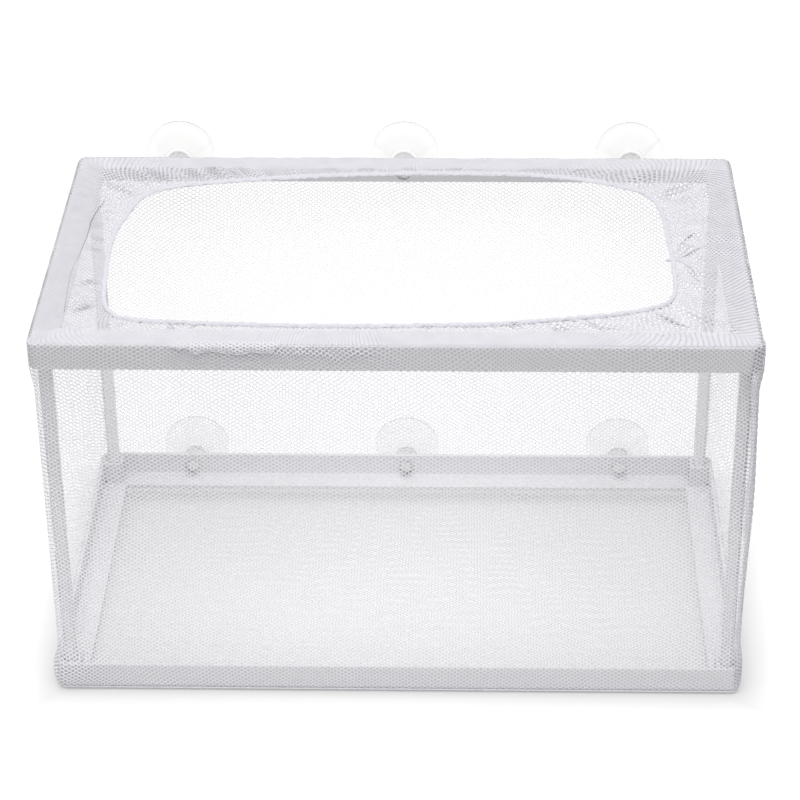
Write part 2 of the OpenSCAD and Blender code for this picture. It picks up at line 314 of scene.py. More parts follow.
def closed_curve(points, steps, between_points=24):
    """A smooth closed line through the points in even steps, and its length."""
    points = np.array(points, float)
    before, after, beyond = np.roll(points, 1, 0), np.roll(points, -1, 0), np.roll(points, -2, 0)
    t = np.linspace(0, 1, between_points, endpoint=False)[:, None, None]
    line = 0.5 * (
        2 * points + (after - before) * t
        + (2 * before - 5 * points + 4 * after - beyond) * t**2
        + (3 * points - before - 3 * after + beyond) * t**3
    )
    line = line.transpose(1, 0, 2).reshape(-1, 2)
    line = np.vstack((line, line[:1]))
    far = np.concatenate(([0], np.cumsum(np.linalg.norm(np.diff(line, axis=0), axis=1))))
    even = np.linspace(0, far[-1], steps, endpoint=False)
    return np.stack([np.interp(even, far, line[:, k]) for k in (0, 1)], 1), far[-1]


hem_line, hem_length = closed_curve(HEM_ROUTE, HEM_STEPS)


def hem_point(share):
    """The middle of the hem at a share of its length, from the front left corner."""
    at = np.mod(share, 1) * HEM_STEPS
    low = np.floor(at).astype(int)
    part = (at - low)[..., None]
    return hem_line[low % HEM_STEPS] * (1 - part) + hem_line[(low + 1) % HEM_STEPS] * part


def soft_noise(seed, points, size, terms=14):
    """Smooth random heights from -1 to 1 over points, with bumps of about this size."""
    draw = np.random.default_rng(seed)
    total = np.zeros(points.shape[:-1])
    for _ in range(terms):
        wave = draw.normal(size=points.shape[-1])
        wave *= 2 * math.pi / (size * draw.uniform(0.8, 2.2)) / np.linalg.norm(wave)
        total += np.sin(points @ wave + draw.uniform(0, 2 * math.pi))
    return total / math.sqrt(terms)


def add_mesh(name, points, faces):
    """A new smooth piece from points in millimetres."""
    mesh = bpy.data.meshes.new(name)
    mesh.from_pydata((np.asarray(points) * MM).tolist(), [], [tuple(face) for face in faces])
    mesh.shade_smooth()
    mesh.update()
    piece = bpy.data.objects.new(name, mesh)
    bpy.context.scene.collection.objects.link(piece)
    return piece


def lean_normals(piece, lean):
    """Leans a piece's shading normals, because soft yarn takes in light from other sides too."""
    normals = np.empty(len(piece.data.vertices) * 3, np.float32)
    piece.data.vertices.foreach_get("normal", normals)
    normals = normals.reshape(-1, 3) + lean
    piece.data.normals_split_custom_set_from_vertices(
        (normals / np.linalg.norm(normals, axis=1)[:, None]).tolist()
    )


def round_hem(share):
    """A place on a circle as long as the hem, for noise that meets itself."""
    turn = 2 * np.pi * share
    return np.stack((np.cos(turn), np.sin(turn)), -1) * hem_length / (2 * np.pi)


def tube(line, rise, radii, sides):
    """Points and faces of a closed tube along a closed line in plan."""
    count = len(line)
    ahead = np.roll(line, -1, 0) - np.roll(line, 1, 0)
    ahead /= np.linalg.norm(ahead, axis=1)[:, None]
    out = np.stack((ahead[:, 1], -ahead[:, 0]), 1)
    turn = 2 * np.pi * (np.arange(sides) + 0.5) / sides
    points = np.empty((count, sides, 3))
    points[..., :2] = line[:, None] + out[:, None] * (radii * np.cos(turn))[..., None]
    points[..., 2] = rise[:, None] + radii * np.sin(turn)
    i, k = np.meshgrid(np.arange(count), np.arange(sides), indexing="ij")
    i2, k2 = (i + 1) % count, (k + 1) % sides
    faces = np.stack((i * sides + k, i2 * sides + k, i2 * sides + k2, i * sides + k2), -1).reshape(-1, 4)
    return points.reshape(-1, 3), faces


yarn_tone, tone_in, tone_out = new_group(
    "yarn_tone",
    {"Light": "NodeSocketColor", "Shade": "NodeSocketColor", "Scale": "NodeSocketFloat"},
    {"Color": "NodeSocketColor", "Height": "NodeSocketFloat"},
)
fibre = noise(yarn_tone, tone_in.outputs["Scale"], 3)
feed(
    yarn_tone, tone_out.inputs["Color"],
    blend_colours(yarn_tone, fibre, tone_in.outputs["Light"], tone_in.outputs["Shade"]),
)
feed(yarn_tone, tone_out.inputs["Height"], fibre)


def yarn(name, light, shade, scale, relief=0.3, sheen=0.1, cover=1.0):
    """A soft synthetic yarn, with scale in bumps per metre. cover below 1 lets light through."""
    material, tree, shader = new_material(name)
    tone = place_group(tree, yarn_tone, Light=(*light, 1), Shade=(*shade, 1), Scale=scale)
    tree.links.new(tone["Color"], shader.inputs["Base Color"])
    add_relief(tree, shader, tone["Height"], relief, 0.1)
    shader.inputs["Roughness"].default_value = 0.7
    shader.inputs["Specular IOR Level"].default_value = 0.3
    shader.inputs["Sheen Weight"].default_value = sheen
    shader.inputs["Alpha"].default_value = cover
    return material


share = np.arange(HEM_STEPS) / HEM_STEPS
turn = np.arange(HEM_SIDES) / HEM_SIDES * 2 * np.pi
on_hem = np.concatenate((
    np.repeat(round_hem(share)[:, None], HEM_SIDES, 1),
    np.broadcast_to(PUCKER_ROUND * np.stack((np.cos(turn), np.sin(turn)), -1), (HEM_STEPS, HEM_SIDES, 2)),
), -1)
puckers = 0.18 * soft_noise(11, on_hem, 1.7) + 0.08 * soft_noise(12, on_hem, 0.9)
hem_rise = HEM_HEIGHT + 0.12 * soft_noise(13, round_hem(share), 30)
hem = add_mesh("hem_band", *tube(hem_line, hem_rise, HEM_RADIUS * (1 + puckers), HEM_SIDES))
lean_normals(hem, (0, 0, HEM_LIFT))
hem_cloth = yarn("hem_cloth", (0.76, 0.755, 0.81), (0.66, 0.655, 0.71), 900, relief=0.4)
hem.data.materials.append(hem_cloth)
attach(hem, "box")
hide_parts("hem", "elastic_cord")

# --- Net --------------------------------------------------------------------
# White hexagonal tulle, warp knitted from a fine soft yarn, cut as a band and
# a floor and sewn into a bag that is stretched over the rings and posts.
COLUMN, ROW = 1.239, 1.684  # pitch of the holes across and up the net
KNOT = 0.7  # length of a level side of a hole
WALL_YARNS, SKIRT_YARNS, FLOOR_YARNS = (0.54, 0.36), (1.0, 0.65), (0.62, 0.36)  # widths, level and slanting
ROUNDNESS = 1.0  # how far the yarns' edges turn towards the holes
LIFT = 0.7  # how far an upright yarn's shading turns up, on the side of each wall that mostly shows
BOX_X, BOX_Y, CORNER = 132.5, 76.75, 4.0  # half the bag's length and depth, and its corners' radius
SKIN = 0.3  # depth of the yarns' middle below the outer face of the bag
FOOT = 3.0 - SKIN  # radius of the net round the foot of the bottom ring
STRAIGHTS = (2 * (BOX_X - CORNER), 2 * (BOX_Y - CORNER)) * 2
ARC = math.pi / 2 * CORNER
ROUND = sum(STRAIGHTS) + 4 * ARC
COLUMN = ROUND / (2 * round(ROUND / COLUMN / 2))  # an even number of columns goes round the bag
RIM_TOP, RIM_TURN = 154.7, 0.8
FOOT_UP = math.pi / 2 * FOOT  # distances up the net: past the foot, the wall, the rim's edge
WALL_UP = FOOT_UP + RIM_TOP - RIM_TURN - SKIN - FOOT
SKIRT_FROM = WALL_UP + math.pi / 2 * RIM_TURN
WALL_ROWS, SKIRT_ROWS = 93, 16
UNDER_HEM = 0.3  # from the last row to the middle of the hem
WALL_HIGH, SKIRT_TO = WALL_ROWS * ROW, (WALL_ROWS + SKIRT_ROWS) * ROW + UNDER_HEM
FLANGE_X, FLANGE_Y = 121.0, 65.25  # inner edge of the rings' rim
PULL, PULL_FADES = 2.9, 132  # how far the net is drawn in at a post, and how far along a wall that reaches
PULL_STARTS, PULL_ENDS = (11.5, 22.5), (134, 145)  # heights where the net leaves the rings for the posts
BOW, BOW_FROM, SPAN_FROM, SPAN = 1.15, 25, 12, 132.5  # the bow of a wall between posts, by its height
CORNER_FADE = 30  # how far round the bag the looser front corners reach
SLACK_FROM, SLACK_TO = -84, -3  # where the front of the bag sags over the rim's edge
SLACK_BELOW, SLACK_HIGH = 2.2, 1.5  # the sag's middle below that edge, and half its height
TUCK = np.array((103.2, -12.0))  # where a tuck in the hem gathers the net at the right end
TUCK_PULL, TUCK_FADES = 0.25, 9  # the share of the way that it draws the net in, and how far that reaches
FAN_FOLDS, FAN_RISE, FAN_FADES = 6, 1.8, 20  # the folds that fan out from the tuck
SHIVER, SHIVER_SIZE = 0.12, 9  # unevenness of the holes


def hole_corners(yarns):
    """The six corners of one hole about its middle, anticlockwise from the right."""
    thick, thin = yarns
    slant_x, slant_y = COLUMN - KNOT, ROW / 2
    slant = math.hypot(slant_x, slant_y)
    wide = COLUMN - KNOT / 2 - thin / 2 * slant / slant_y
    high = ROW / 2 - thick / 2
    flat = KNOT / 2 + (thick / 2 * slant_x - thin / 2 * slant) / slant_y
    return np.array([(wide, 0), (flat, high), (-flat, high), (-wide, 0), (-flat, -high), (flat, -high)])


def knitted(name, low, high, place, yarns=WALL_YARNS, lift=0.0, open_share=None):
    """A net piece between two corners of the flat net. place puts flat points in space."""
    first, last = (np.floor(np.divide(corner, (COLUMN, ROW))).astype(int) for corner in (low, high))
    i, j = np.meshgrid(
        np.arange(first[0] - 1, last[0] + 3), np.arange(first[1] - 2, last[1] + 3), indexing="ij"
    )
    middle = np.stack(((i + 0.5) * COLUMN, (j + 0.5 + 0.5 * (i % 2)) * ROW), -1)
    number = np.arange(i.size).reshape(i.shape) * 6
    inner = (slice(1, -1), slice(1, -1))
    a, up_one = number[inner], number[1:-1, 2:]
    odd = (i[inner] % 2).astype(bool)
    above = np.where(odd, number[2:, 2:], number[2:, 1:-1])
    below = np.where(odd, number[2:, 1:-1], number[2:, :-2])
    kept = ((middle[inner] >= low) & (middle[inner] < high)).all(-1)
    a, up_one, above, below = (v[kept] for v in (a, up_one, above, below))
    # three yarns and two knots belong to each hole: they join its corners to its neighbours'
    quads = np.concatenate((
        np.stack((a + 2, a + 1, up_one + 5, up_one + 4), -1),
        np.stack((a + 1, a, above + 4, above + 3), -1),
        np.stack((a, a + 5, below + 3, below + 2), -1),
    ))
    knots = np.concatenate((
        np.stack((a + 1, above + 3, up_one + 5), -1),
        np.stack((a, below + 2, above + 4), -1),
    ))
    used, order = np.unique(np.concatenate((quads.ravel(), knots.ravel())), return_inverse=True)
    quads, knots = order[: quads.size].reshape(-1, 4), order[quads.size :].reshape(-1, 3)
    centres = middle.reshape(-1, 2)[used // 6]
    wide = np.ones(len(centres)) if open_share is None else open_share(place(centres))
    points = place(centres + hole_corners(yarns)[used % 6] * wide[:, None])
    piece = add_mesh(name, points, [*quads.tolist(), *knots.tolist()])
    # the edges of a ribbon turn down towards its holes, so that it shades as a round yarn
    aside = place(centres) - points
    aside /= np.linalg.norm(aside, axis=1)[:, None] + 1e-9
    lean_normals(piece, ROUNDNESS * aside * (wide**2)[:, None] + (0, 0, lift))
    return piece


def wall_line(along):
    """Points and outward normals at a distance round the bag, and the distance to a corner."""
    along = np.mod(along, ROUND)
    point, normal = np.zeros((len(along), 2)), np.zeros((len(along), 2))
    reach = np.zeros(len(along))
    start = 0.0
    for n, (centre_x, centre_y) in enumerate(((-1, -1), (1, -1), (1, 1), (-1, 1))):
        centre = np.array((centre_x * (BOX_X - CORNER), centre_y * (BOX_Y - CORNER)))
        on = (along >= start) & (along < start + ARC)
        angle = math.pi * (1 + n / 2) + (along[on] - start) / CORNER
        normal[on] = np.stack((np.cos(angle), np.sin(angle)), 1)
        point[on] = centre + CORNER * normal[on]
        start += ARC
        on = (along >= start) & (along < start + STRAIGHTS[n])
        angle = math.pi * (1.5 + n / 2)
        facing = np.array((round(math.cos(angle)), round(math.sin(angle))))
        ahead = np.array((-facing[1], facing[0]))
        normal[on] = facing
        point[on] = centre + CORNER * facing + (along[on] - start)[:, None] * ahead
        reach[on] = np.minimum(along[on] - start, start + STRAIGHTS[n] - along[on])
        start += STRAIGHTS[n]
    return point, normal, reach


def step(low, high, value):
    """0 below low and 1 above high, with a smooth rise between them."""
    part = np.clip((value - low) / (high - low), 0, 1)
    return part * part * (3 - 2 * part)


# Distances round the bag to its four corners, and the shares of the hem's length that they are drawn to
MOUTH_CORNERS = ((-104.2, -52.6), (97, -46), (94.5, 46.5), (-98, 46))
anchors = [ARC / 2 + sum(STRAIGHTS[:n]) + n * ARC for n in range(5)]
corner_shares = [
    float(np.argmin(np.linalg.norm(hem_line - corner, axis=1)) / HEM_STEPS) for corner in MOUTH_CORNERS
]
corner_shares = [share - (n == 0 and share > 0.5) for n, share in enumerate(corner_shares)]
corner_shares.append(corner_shares[0] + 1)


def near_corner(along, corner):
    """1 at a corner of the bag, and less to both sides."""
    return np.exp(-((np.mod(along - anchors[corner] + ROUND / 2, ROUND) - ROUND / 2) / CORNER_FADE) ** 2)


def pulled_in(along, z, reach):
    """How far a wall lies in from the rings: drawn to the posts, and nearly flat between them."""
    at_post = step(*PULL_STARTS, z) * (1 - step(*PULL_ENDS, z))
    bow = BOW * np.sin(np.pi * np.clip((z - SPAN_FROM) / SPAN, 0, 1))
    hug = (at_post + (bow - at_post) * step(0, BOW_FROM, reach)) * np.exp(-np.pi * reach / PULL_FADES)
    # the band is looser at the two front corners, and bulges out a little at the foot of the left one
    left, right = near_corner(along, 0), near_corner(along, 1)
    hug = hug * (1 - right * (0.72 - 0.2 * np.sin(z / 19)))
    hug = hug * (1 - 0.55 * left) - 0.45 * left**4 * np.exp(-(((z - 7.5) / 6) ** 2))
    return PULL * hug


def sagging(base, height):
    """How far the slack bulges out below the rim's front edge."""
    slack = step(SLACK_FROM, SLACK_FROM + 10, base[:, 0]) * (1 - step(SLACK_TO - 12, SLACK_TO, base[:, 0]))
    slack = slack * (base[:, 1] < -BOX_Y + 1)
    lip = WALL_UP - SLACK_BELOW + 1.1 * soft_noise(61, base, 9)
    return slack * np.exp(-(((height - lip) / SLACK_HIGH) ** 2)) * (0.5 + 0.3 * soft_noise(62, base, 5))


def gathered(point, z, along, height):
    """Takes what lies past the rim's edge in to the hem, with its pleats, ripples and folds."""
    part = np.clip((height - SKIRT_FROM) / (SKIRT_TO - SKIRT_FROM), 0, 1)
    on_skirt = part > 0
    share = np.interp(np.mod(along - anchors[0], ROUND) + anchors[0], anchors, corner_shares)
    pleats = 0.9 * soft_noise(23, round_hem(share), 6.5) + 0.45 * soft_noise(24, round_hem(share), 3.5)
    share = share + step(0.1, 0.6, part) * pleats / hem_length
    point = point + (hem_point(share) - point) * part[:, None]
    from_tuck = TUCK - point
    far = np.linalg.norm(from_tuck, axis=1)
    point = point + from_tuck * (TUCK_PULL * np.exp(-far / TUCK_FADES) * on_skirt)[:, None]
    over_rim = np.maximum(np.abs(point[:, 0]) - FLANGE_X, np.abs(point[:, 1]) - FLANGE_Y)
    loose = (1 - step(-4, 1, over_rim)) * on_skirt
    gather = np.column_stack((round_hem(share), 4 * part))
    ripple = 1.2 * soft_noise(21, gather, 7.5) + 0.75 * soft_noise(22, gather, 4)
    fan = np.sin(FAN_FOLDS * np.arctan2(from_tuck[:, 1], from_tuck[:, 0]))
    fan = fan * np.exp(-far / FAN_FADES) * step(2, 10, far)
    rise = ripple + pleats + FAN_RISE * fan
    z = z + loose * step(0.15, 0.8, part) * (1 - step(0.72, 0.98, part)) * rise
    z = z + step(0.05, 0.3, part) * np.abs(0.35 * ripple) * (1 - loose)
    return point, z, on_skirt


def net_place(flat):
    """Points of the bag's wall and skirt, from distances round it and up it."""
    along, height = flat[:, 0], flat[:, 1]
    turn = along / ROUND * 2 * np.pi
    around = np.stack((BOX_X * np.cos(turn), BOX_X * np.sin(turn), height), 1)
    # the knit runs a little askew, most of all near the top
    askew = step(0, 12, height) * (0.8 + 1.2 * step(115, 150, height))
    along = along + askew * soft_noise(51, around, 34)
    height = height + askew * 0.45 * soft_noise(52, around, 26) * (1 - step(146, 152, height))
    # round the foot, up the wall and over the rim's edge
    base, normal, reach = wall_line(along)
    foot = np.clip(height / FOOT_UP, 0, 1) * math.pi / 2
    z = SKIN + FOOT * (1 - np.cos(foot)) + np.clip(height, FOOT_UP, WALL_UP) - FOOT_UP
    draw_in = SKIN + FOOT * (1 - np.sin(foot)) + pulled_in(along, z, reach)
    draw_in = draw_in - sagging(base, height)
    bend = np.clip((height - WALL_UP) / RIM_TURN, 0, math.pi / 2)
    draw_in = draw_in + RIM_TURN * (1 - np.cos(bend))
    z = z + RIM_TURN * np.sin(bend)
    point, z, on_skirt = gathered(base - normal * draw_in[:, None], z, along, height)
    placed = np.column_stack((point, z))
    # small unevenness of the walls
    shiver = np.stack([soft_noise(seed, around, SHIVER_SIZE) for seed in (31, 32)], 1) * SHIVER
    placed[:, 2] += shiver[:, 0] * ~on_skirt * step(2, 8, height)
    placed[:, :2] += np.stack((-normal[:, 1], normal[:, 0]), 1) * (shiver[:, 1] * ~on_skirt)[:, None]
    return placed


def skirt_open(point):
    """How wide the skirt's holes stand: partly shut where it lies on the rim."""
    over_side, over_front = np.abs(point[:, 0]) - FLANGE_X, np.abs(point[:, 1]) - FLANGE_Y
    return 1 - np.maximum(0.3 * step(-1.5, 1.5, over_side), 0.52 * step(-1.5, 1.5, over_front))


def floor_place(flat):
    """Points of the floor net, from its middle."""
    point = flat + np.stack([soft_noise(seed, flat, 12) for seed in (41, 42)], 1) * SHIVER
    reach = (BOX_X - SKIN - FOOT, BOX_Y - SKIN - FOOT)
    return np.column_stack((np.clip(point, np.negative(reach), reach), np.full(len(point), SKIN)))


start = 0.0
walls = {}
for n, (name, corners) in enumerate((("net_front", 2), ("net_right", 0), ("net_back", 2), ("net_left", 0))):
    end = start + corners * ARC + STRAIGHTS[n]
    lift = LIFT if name == "net_front" else -LIFT
    wall = knitted(name + "_tulle", (start, 0), (end, WALL_HIGH), net_place, lift=lift)
    walls[name] = wall, (end - start) * MM
    start = end
skirt = knitted(
    "net_top_tulle", (0, WALL_HIGH), (ROUND, SKIRT_TO - UNDER_HEM), net_place, SKIRT_YARNS,
    open_share=skirt_open,
)
FLOOR_X, FLOOR_Y = BOX_X - FOOT, BOX_Y - FOOT
floor = knitted("net_floor_tulle", (-FLOOR_X, -FLOOR_Y), (FLOOR_X, FLOOR_Y), floor_place, FLOOR_YARNS)

net_yarn = yarn("net_yarn", (0.96, 0.95, 1.0), (0.90, 0.89, 0.94), 1500, sheen=0.25, cover=0.78)
backlit_yarn = yarn("backlit_yarn", (0.96, 0.95, 0.985), (0.90, 0.89, 0.925), 1500, sheen=0.25, cover=0.58)
# The side walls' yarn is a darker copy of the front's yarn: painted shade.
side_yarn_painted_shade = yarn("side_yarn_painted_shade", (0.91, 0.90, 0.945), (0.84, 0.83, 0.87), 1500, sheen=0.25, cover=0.95)
# The gathered net's yarn is a darker copy of the walls' yarn: painted shade for its layers, with blotches
# of painted fold shade.
gathered_yarn_painted_shade = yarn("gathered_yarn_painted_shade", (0.79, 0.785, 0.835), (0.66, 0.655, 0.70), 130, relief=0.2)
NET_YARNS = {
    "net_top": gathered_yarn_painted_shade, "net_front": net_yarn, "net_left": side_yarn_painted_shade, "net_right": side_yarn_painted_shade,
}
for piece, node in ((skirt, "net_top"), (floor, "net_floor"), *((walls[name][0], name) for name in walls)):
    piece.data.materials.append(NET_YARNS.get(node, backlit_yarn))
    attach(piece, "box")
    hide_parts(node)

# --- Seams ------------------------------------------------------------------
# The band's two ends lap at the right front corner under a zigzag stitch. The
# floor is sewn in round the foot, where the two edges make a narrow bead.
LAP_FROM, LAP_WIDTH, LAP_ROUND, LAP_OUT = 2 * ARC + STRAIGHTS[0], 4.0, 5.5, 0.35
STITCH, STITCH_WIDE, STITCH_BITE, STITCH_OUT = 1.7, 1.1, 0.25, 0.15  # pitch, half width, bite, distance out
THREAD, BEAD = 0.14, 0.32  # radii
BEAD_OUT, BEAD_STEP, BEAD_SIDES, BEAD_STITCH = 0.2, 0.6, 8, 2.4


def outward(along):
    """The way out of the wall at distances round the bag."""
    return np.column_stack((wall_line(along)[1], np.zeros(len(along))))


def lap_place(flat):
    """The upper of the two layers in the lap, just outside the other."""
    return net_place(flat) + LAP_OUT * outward(flat[:, 0])


def thread_tube(line, radius, sides=5):
    """Points and faces of a thread along a line in space."""
    ahead = np.gradient(line, axis=0)
    ahead /= np.linalg.norm(ahead, axis=1)[:, None]
    across = np.cross(ahead, (0.31, 0.11, 0.94))
    across /= np.linalg.norm(across, axis=1)[:, None]
    third = np.cross(ahead, across)
    turn = 2 * np.pi * np.arange(sides) / sides
    ring = np.cos(turn)[:, None] * across[:, None] + np.sin(turn)[:, None] * third[:, None]
    points = (line[:, None] + radius * ring).reshape(-1, 3)
    i, k = np.meshgrid(np.arange(len(line) - 1), np.arange(sides), indexing="ij")
    k2 = (k + 1) % sides
    faces = np.stack((i * sides + k, i * sides + k2, (i + 1) * sides + k2, (i + 1) * sides + k), -1)
    last = sides * (len(line) - 1)
    ends = [[*range(sides - 1, -1, -1)], [*range(last, last + sides)]]
    return points, faces.reshape(-1, 4).tolist() + ends


lap = knitted(
    "corner_seam_lap", (LAP_FROM - LAP_ROUND, FOOT_UP), (LAP_FROM + LAP_WIDTH, SKIRT_FROM), lap_place,
    SKIRT_YARNS,
)
# The lap takes the darker gathered yarn, as painted shade.
lap.data.materials.append(gathered_yarn_painted_shade)
count = int((SKIRT_FROM - FOOT_UP) / STITCH)
stitches = np.column_stack((
    LAP_FROM + LAP_WIDTH / 2 + STITCH_WIDE * np.where(np.arange(count) % 2, 1, -1),
    FOOT_UP + STITCH * np.arange(count),
))
stitches = np.repeat(stitches, 2, 0)
stitches[1::2, 1] += STITCH_BITE
thread = add_mesh(
    "corner_seam_thread", *thread_tube(lap_place(stitches) + STITCH_OUT * outward(stitches[:, 0]), THREAD)
)
seam_thread = yarn("seam_thread", (0.86, 0.855, 0.90), (0.74, 0.735, 0.79), 1600)
thread.data.materials.append(seam_thread)
along = np.arange(0, ROUND, BEAD_STEP)
base, normal, _ = wall_line(along)
lean = math.pi / 4
beat = along * 2 * math.pi / BEAD_STITCH
bead_line = base - normal * (SKIN + FOOT - (FOOT + BEAD_OUT) * math.sin(lean))
bead_rise = SKIN + FOOT - (FOOT + BEAD_OUT) * math.cos(lean) + 0.06 * np.sin(beat)
pulled = 1 + 0.22 * np.cos(beat)[:, None] + 0.1 * soft_noise(71, base, 2)[:, None]
bead = add_mesh(
    "floor_seam_bead", *tube(bead_line, bead_rise, BEAD * np.repeat(pulled, BEAD_SIDES, 1), BEAD_SIDES)
)
bead.data.materials.append(seam_thread)
for piece, node in ((lap, "corner_seam"), (thread, "corner_seam"), (bead, "floor_seam")):
    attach(piece, "box")
    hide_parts(node)

# --- Slack fold -------------------------------------------------------------
# Left of the middle the slack of the band folds over the rim's front edge and
# hangs down a little. The fold's edge is a line of drawn yarns.
FOLD_EDGE = (  # places along the rim, and how far the fold hangs down there
    (-80.2, 0.1), (-78.2, 1.2), (-76.8, 1.4), (-75.3, 0.5), (-73.6, 1.0), (-72.2, 2.8), (-71.2, 3.4),
    (-69.4, 2.7), (-66.5, 2.0), (-62.9, 2.2), (-59.7, 2.9), (-56.8, 3.4), (-53.3, 3.1), (-51.4, 2.0),
    (-49.3, 2.5), (-46.4, 2.7), (-43.6, 2.6), (-42.1, 0.4), (-41.2, 0.1),
)
FOLD_ROWS, FOLD_HANGS = 4, 0.6  # rows of holes in the fold, and the share of them that hangs
FOLD_ON_TOP, FOLD_OUT = 2.4, 0.35  # how far it reaches in over the rim, and how far it stands off
FOLD_YARN, FOLD_YARN_STEP, FOLD_YARN_OUT, FOLD_YARN_LIFT = 0.2, 0.4, 0.15, 1.2
fold_from, fold_to = FOLD_EDGE[0][0], FOLD_EDGE[-1][0]


def fold_place(flat):
    """The fold from its hanging edge up over the rim's edge."""
    x = fold_from + flat[:, 0]
    part = flat[:, 1] / (FOLD_ROWS * ROW)
    hang, on_top = np.clip(part / FOLD_HANGS, 0, 1), np.clip((part - FOLD_HANGS) / (1 - FOLD_HANGS), 0, 1)
    drop = np.interp(x, *np.transpose(FOLD_EDGE))
    out = FOLD_OUT + 0.35 * np.sin(np.pi * hang) * np.clip(drop, 0, 1) + 0.12 * soft_noise(63, flat, 3)
    y = -BOX_Y + SKIN - out + (FOLD_ON_TOP + FOLD_OUT) * on_top
    z = RIM_TOP + 0.35 * step(0, 0.5, on_top) - drop * (1 - hang)
    return np.column_stack((x, y, z))


fold = knitted(
    "net_front_fold", (0, 0), (fold_to - fold_from, FOLD_ROWS * ROW), fold_place, SKIRT_YARNS, lift=LIFT
)
edge = np.arange(0, fold_to - fold_from, FOLD_YARN_STEP)
fold_line = fold_place(np.column_stack((edge, np.zeros(len(edge)))))
fold_line[:, 2] += 0.12 * soft_noise(64, fold_line, 1.6)
fold_edge = add_mesh("net_front_fold_edge", *thread_tube(fold_line - (0, FOLD_YARN_OUT, 0), FOLD_YARN))
lean_normals(fold_edge, (0, 0, FOLD_YARN_LIFT))
for piece in (fold, fold_edge):
    piece.data.materials.append(net_yarn)
    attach(piece, "box")

# --- Painted shadow line ----------------------------------------------------
# A dark grey line of small even dashes, shaped as a thread on the net along the
# rim's left inner edge: a painted shadow of that edge. It is thickest near one end.
PAINTED_SHADOW = (
    (-116.9, 35.8), (-118.8, 27.8), (-119.8, 21.4), (-119.9, 14.5), (-120.1, 5.3), (-120.6, -1.9),
    (-121.2, -10.1), (-122.1, -17.7), (-122.4, -24), (-122.1, -32.5), (-121.9, -39.4), (-121.4, -46.9),
    (-120.9, -53.6),
)
PAINTED_SHADOW_STEP, PAINTED_SHADOW_THREAD, PAINTED_SHADOW_DIP, PAINTED_SHADOW_ABOVE = 1.9, 0.18, 0.25, 0.1
DASH_SHOWS = 0.2  # half of the share of a dash that lies on top
THICKEST_DASH, THICK_FOR = 8, 9  # the dash where the painted shadow is thickest, and how many share that


def lie_on(plan, above):
    """Points in space over a line in plan, resting on the skirt."""
    cloth = np.empty(len(skirt.data.vertices) * 3)
    skirt.data.vertices.foreach_get("co", cloth)
    cloth = cloth.reshape(-1, 3) / MM
    heights = [
        cloth[np.linalg.norm(cloth[:, :2] - point, axis=1) < 1.4, 2].max(initial=RIM_TOP) for point in plan
    ]
    return np.column_stack((plan, np.array(heights) + above))


def even_line(route, gap):
    """Points in even steps along an open route in plan."""
    route = np.array(route, float)
    far = np.concatenate(([0], np.cumsum(np.linalg.norm(np.diff(route, axis=0), axis=1))))
    even = np.arange(0, far[-1], gap)
    return np.stack([np.interp(even, far, route[:, k]) for k in (0, 1)], 1)


def join(threads):
    """Points and faces of several threads as one."""
    points, faces, used = [], [], 0
    for thread_points, thread_faces in threads:
        points.append(thread_points)
        faces += [[corner + used for corner in face] for face in thread_faces]
        used += len(thread_points)
    return np.concatenate(points), faces


painted_shadow_line = lie_on(even_line(PAINTED_SHADOW, PAINTED_SHADOW_STEP), PAINTED_SHADOW_ABOVE)
painted_shadow_stitches = []
for n, (here, ahead) in enumerate(zip(painted_shadow_line, painted_shadow_line[1:])):
    # the painted shadow's dashes are thickest near one end
    loose = math.exp(-((n - THICKEST_DASH) / THICK_FOR) ** 2)
    middle, half = (here + ahead) / 2, (ahead - here) * DASH_SHOWS
    stitch = np.array((
        middle - half - (0, 0, PAINTED_SHADOW_DIP),
        middle - half * 0.6,
        middle + half * 0.6,
        middle + half - (0, 0, PAINTED_SHADOW_DIP),
    ))
    painted_shadow_stitches.append(thread_tube(stitch, PAINTED_SHADOW_THREAD * (0.55 + 0.6 * loose)))
painted_shadow = add_mesh("rim_painted_shadow_thread", *join(painted_shadow_stitches))
# Its dark grey is painted shadow.
painted_shadow.data.materials.append(yarn("painted_shadow_thread", (0.36, 0.36, 0.37), (0.20, 0.20, 0.21), 1600))
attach(painted_shadow, "box")

# --- Tuck -------------------------------------------------------------------
# At the right end of the mouth the hem is pinched and caught with a stitch.
# Three narrow rolls of the gathered net fan out from it over the rim.
TUCK_ROLLS = (
    ((102.9, -10.6), (105.4, -4.6), (108.7, 5.2), (113.0, 8.5)),
    ((102.9, -10.9), (106.8, -12.6), (110.0, -20.3), (112.3, -28.8)),
    ((103.0, -10.4), (106.6, -8.6), (111.2, -3.0), (116.8, 1.2)),
)
TUCK_PINCH = ((101.4, -10.2, 154.6), (102.4, -10.7, 154.9), (103.8, -11.0, 154.9), (104.4, -11.4, 154.7))
ROLL, ROLL_STEP, ROLL_ABOVE, PINCH = 0.36, 0.6, -0.05, 0.8
rolls = [thread_tube(lie_on(even_line(route, ROLL_STEP), ROLL_ABOVE), ROLL) for route in TUCK_ROLLS]
rolls.append(thread_tube(np.array(TUCK_PINCH), PINCH))
tuck = add_mesh("hem_tuck", *join(rolls))
lean_normals(tuck, (0, 0, HEM_LIFT))
tuck.data.materials.append(hem_cloth)
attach(tuck, "box")

